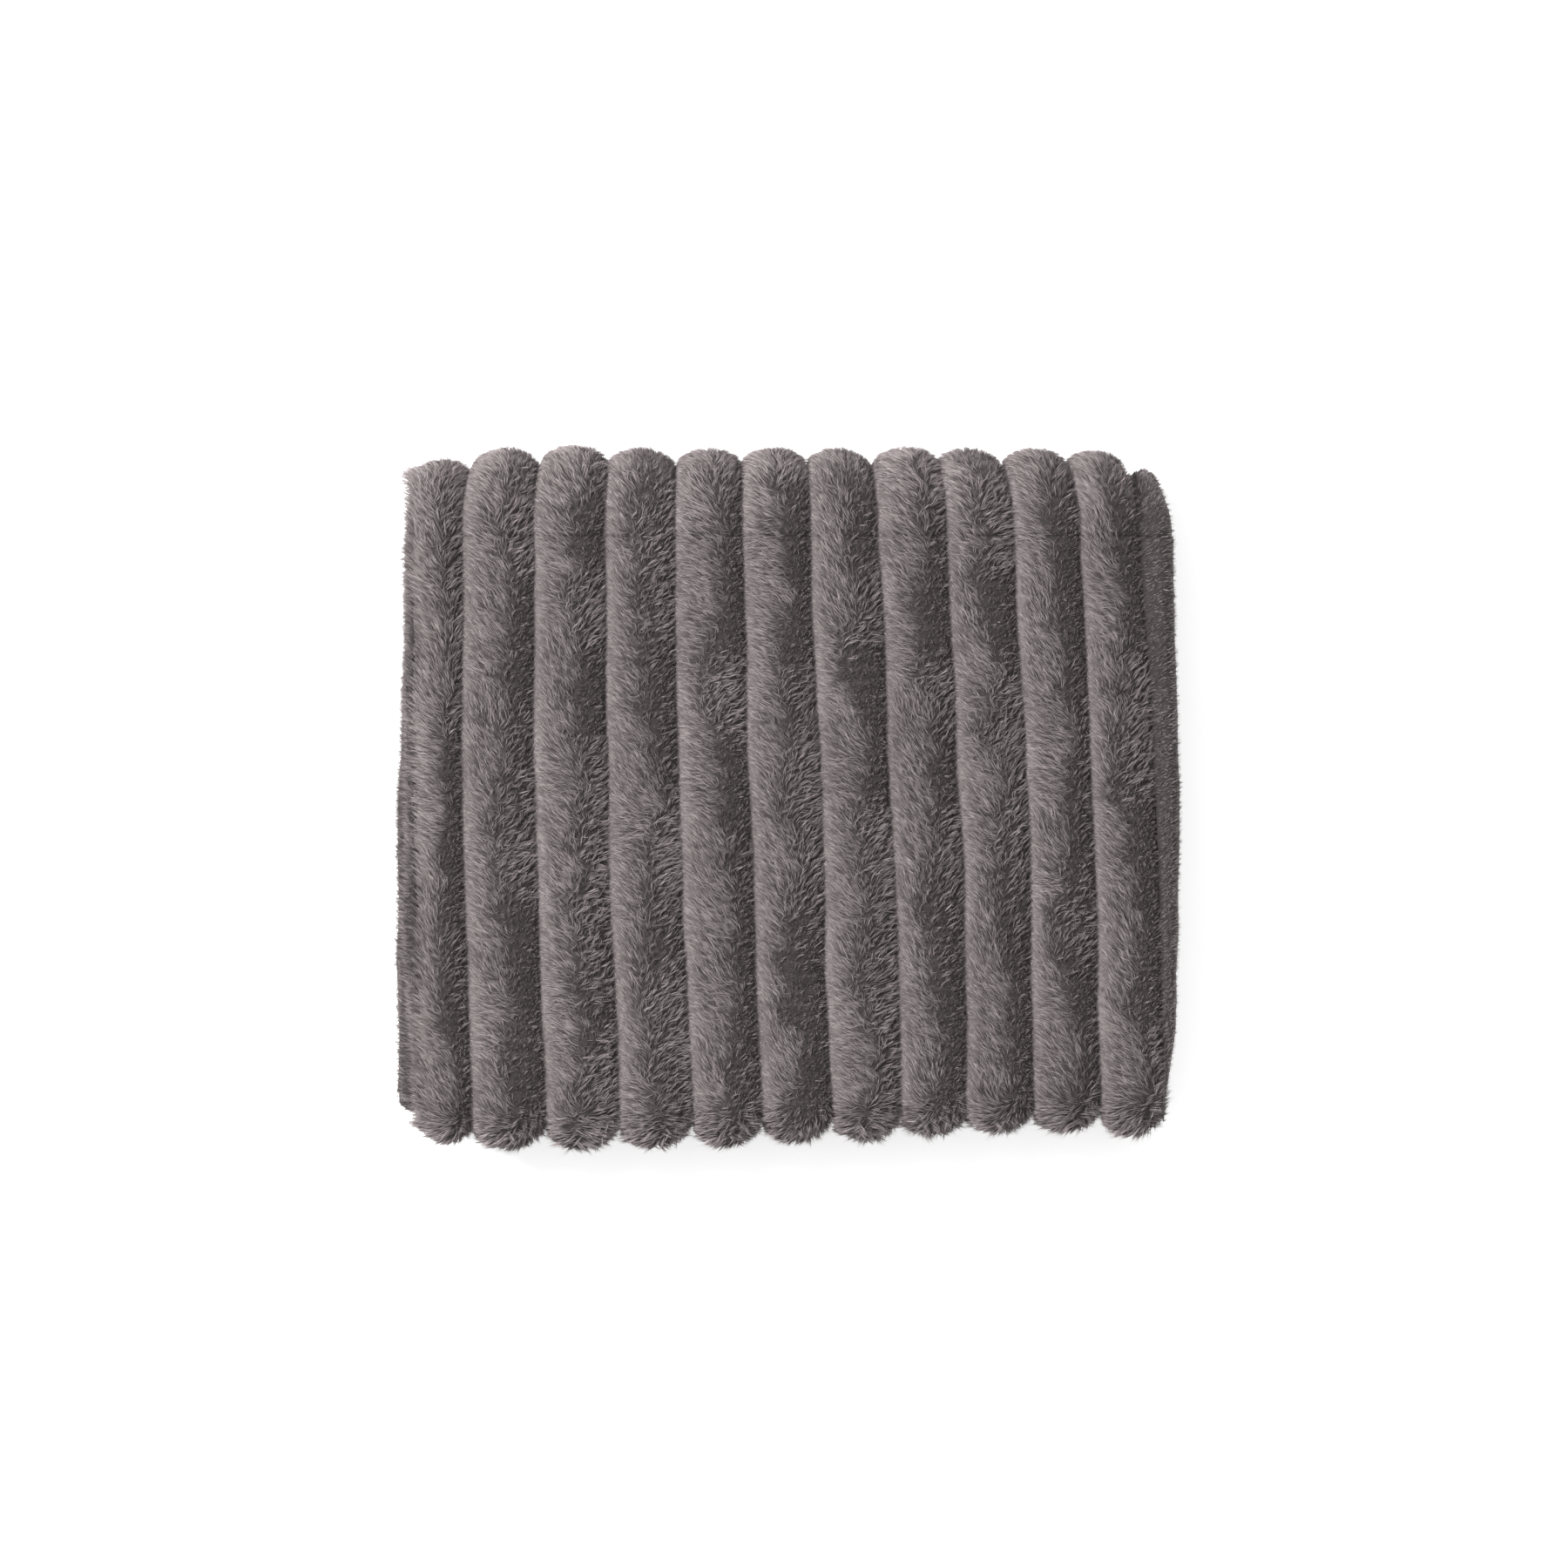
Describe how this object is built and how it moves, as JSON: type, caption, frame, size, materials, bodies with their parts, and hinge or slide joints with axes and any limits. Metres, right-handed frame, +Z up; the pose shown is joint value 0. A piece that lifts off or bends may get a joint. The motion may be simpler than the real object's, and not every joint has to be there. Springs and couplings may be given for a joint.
{
  "type": "folded throw blanket",
  "caption": "Ribbed plush throw blanket folded into a thick rectangular pack with rounded ribs from front to back; the upper half opens about the back folds.",
  "frame": {"origin": "middle of the bottom of the folded pack, on the surface it rests on", "axes": "+X across the ribs to the side with the twelfth rib, +Y along the ribs to the back folds, +Z up"},
  "size_m": [0.4462, 0.4052, 0.104],
  "materials": {
    "pile": "taupe grey plush pile in rounded ribs",
    "backing": "plies of short brushed plush folded inside",
    "hem": "turned and stitched hem"
  },
  "bodies": {
    "lower_half": {"back_fold_core": "backing", "back_fold_inner_ply": "backing", "back_fold_outer_ply": "backing", "back_fold_rib_01": "pile", "back_fold_rib_02": "pile", "back_fold_rib_03": "pile", "back_fold_rib_04": "pile", "back_fold_rib_05": "pile", "back_fold_rib_06": "pile", "back_fold_rib_07": "pile", "back_fold_rib_08": "pile", "back_fold_rib_09": "pile", "back_fold_rib_10": "pile", "back_fold_rib_11": "pile", "back_fold_second_ply": "backing", "back_fold_third_ply": "backing", "back_left_folds": "pile", "back_left_hem": "hem", "back_right_folds": "pile", "bottom_end_hems": "hem", "bottom_inner_ply": "backing", "bottom_left_fold": "pile", "bottom_left_hem": "hem", "bottom_outer_ply": "backing", "bottom_rib_01": "pile", "bottom_rib_02": "pile", "bottom_rib_03": "pile", "bottom_rib_04": "pile", "bottom_rib_05": "pile", "bottom_rib_06": "pile", "bottom_rib_07": "pile", "bottom_rib_08": "pile", "bottom_rib_09": "pile", "bottom_rib_10": "pile", "bottom_rib_11": "pile", "bottom_right_fold": "pile", "lower_end_hems": "hem", "lower_facing_ply": "backing", "lower_inner_ply": "backing", "lower_inner_ribs": "pile", "lower_left_fold": "pile", "lower_right_fold": "pile"},
    "upper_half": {"top_rib_01": "pile", "top_rib_02": "pile", "top_rib_03": "pile", "top_rib_04": "pile", "top_rib_05": "pile", "top_rib_06": "pile", "top_rib_07": "pile", "top_rib_08": "pile", "top_rib_09": "pile", "top_rib_10": "pile", "top_rib_11": "pile", "upper_facing_ply": "backing", "upper_inner_ribs": "pile", "upper_left_fold": "pile", "upper_left_hem": "hem", "upper_middle_plies": "backing", "upper_outer_ply": "backing", "upper_right_fold": "pile"}
  },
  "joints": [
    {"name": "lift_upper_half", "type": "hinge", "parent": "lower_half", "child": "upper_half", "pos_m": [0, 0.1505, 0.052], "axis": [-1, 0, 0], "range_deg": [0, 176], "deforming": ["back_fold_core", "back_fold_inner_ply", "back_fold_outer_ply", "back_fold_rib_01", "back_fold_rib_02", "back_fold_rib_03", "back_fold_rib_04", "back_fold_rib_05", "back_fold_rib_06", "back_fold_rib_07", "back_fold_rib_08", "back_fold_rib_09", "back_fold_rib_10", "back_fold_rib_11", "back_fold_second_ply", "back_fold_third_ply", "back_left_folds", "back_left_hem", "back_right_folds"]}
  ]
}
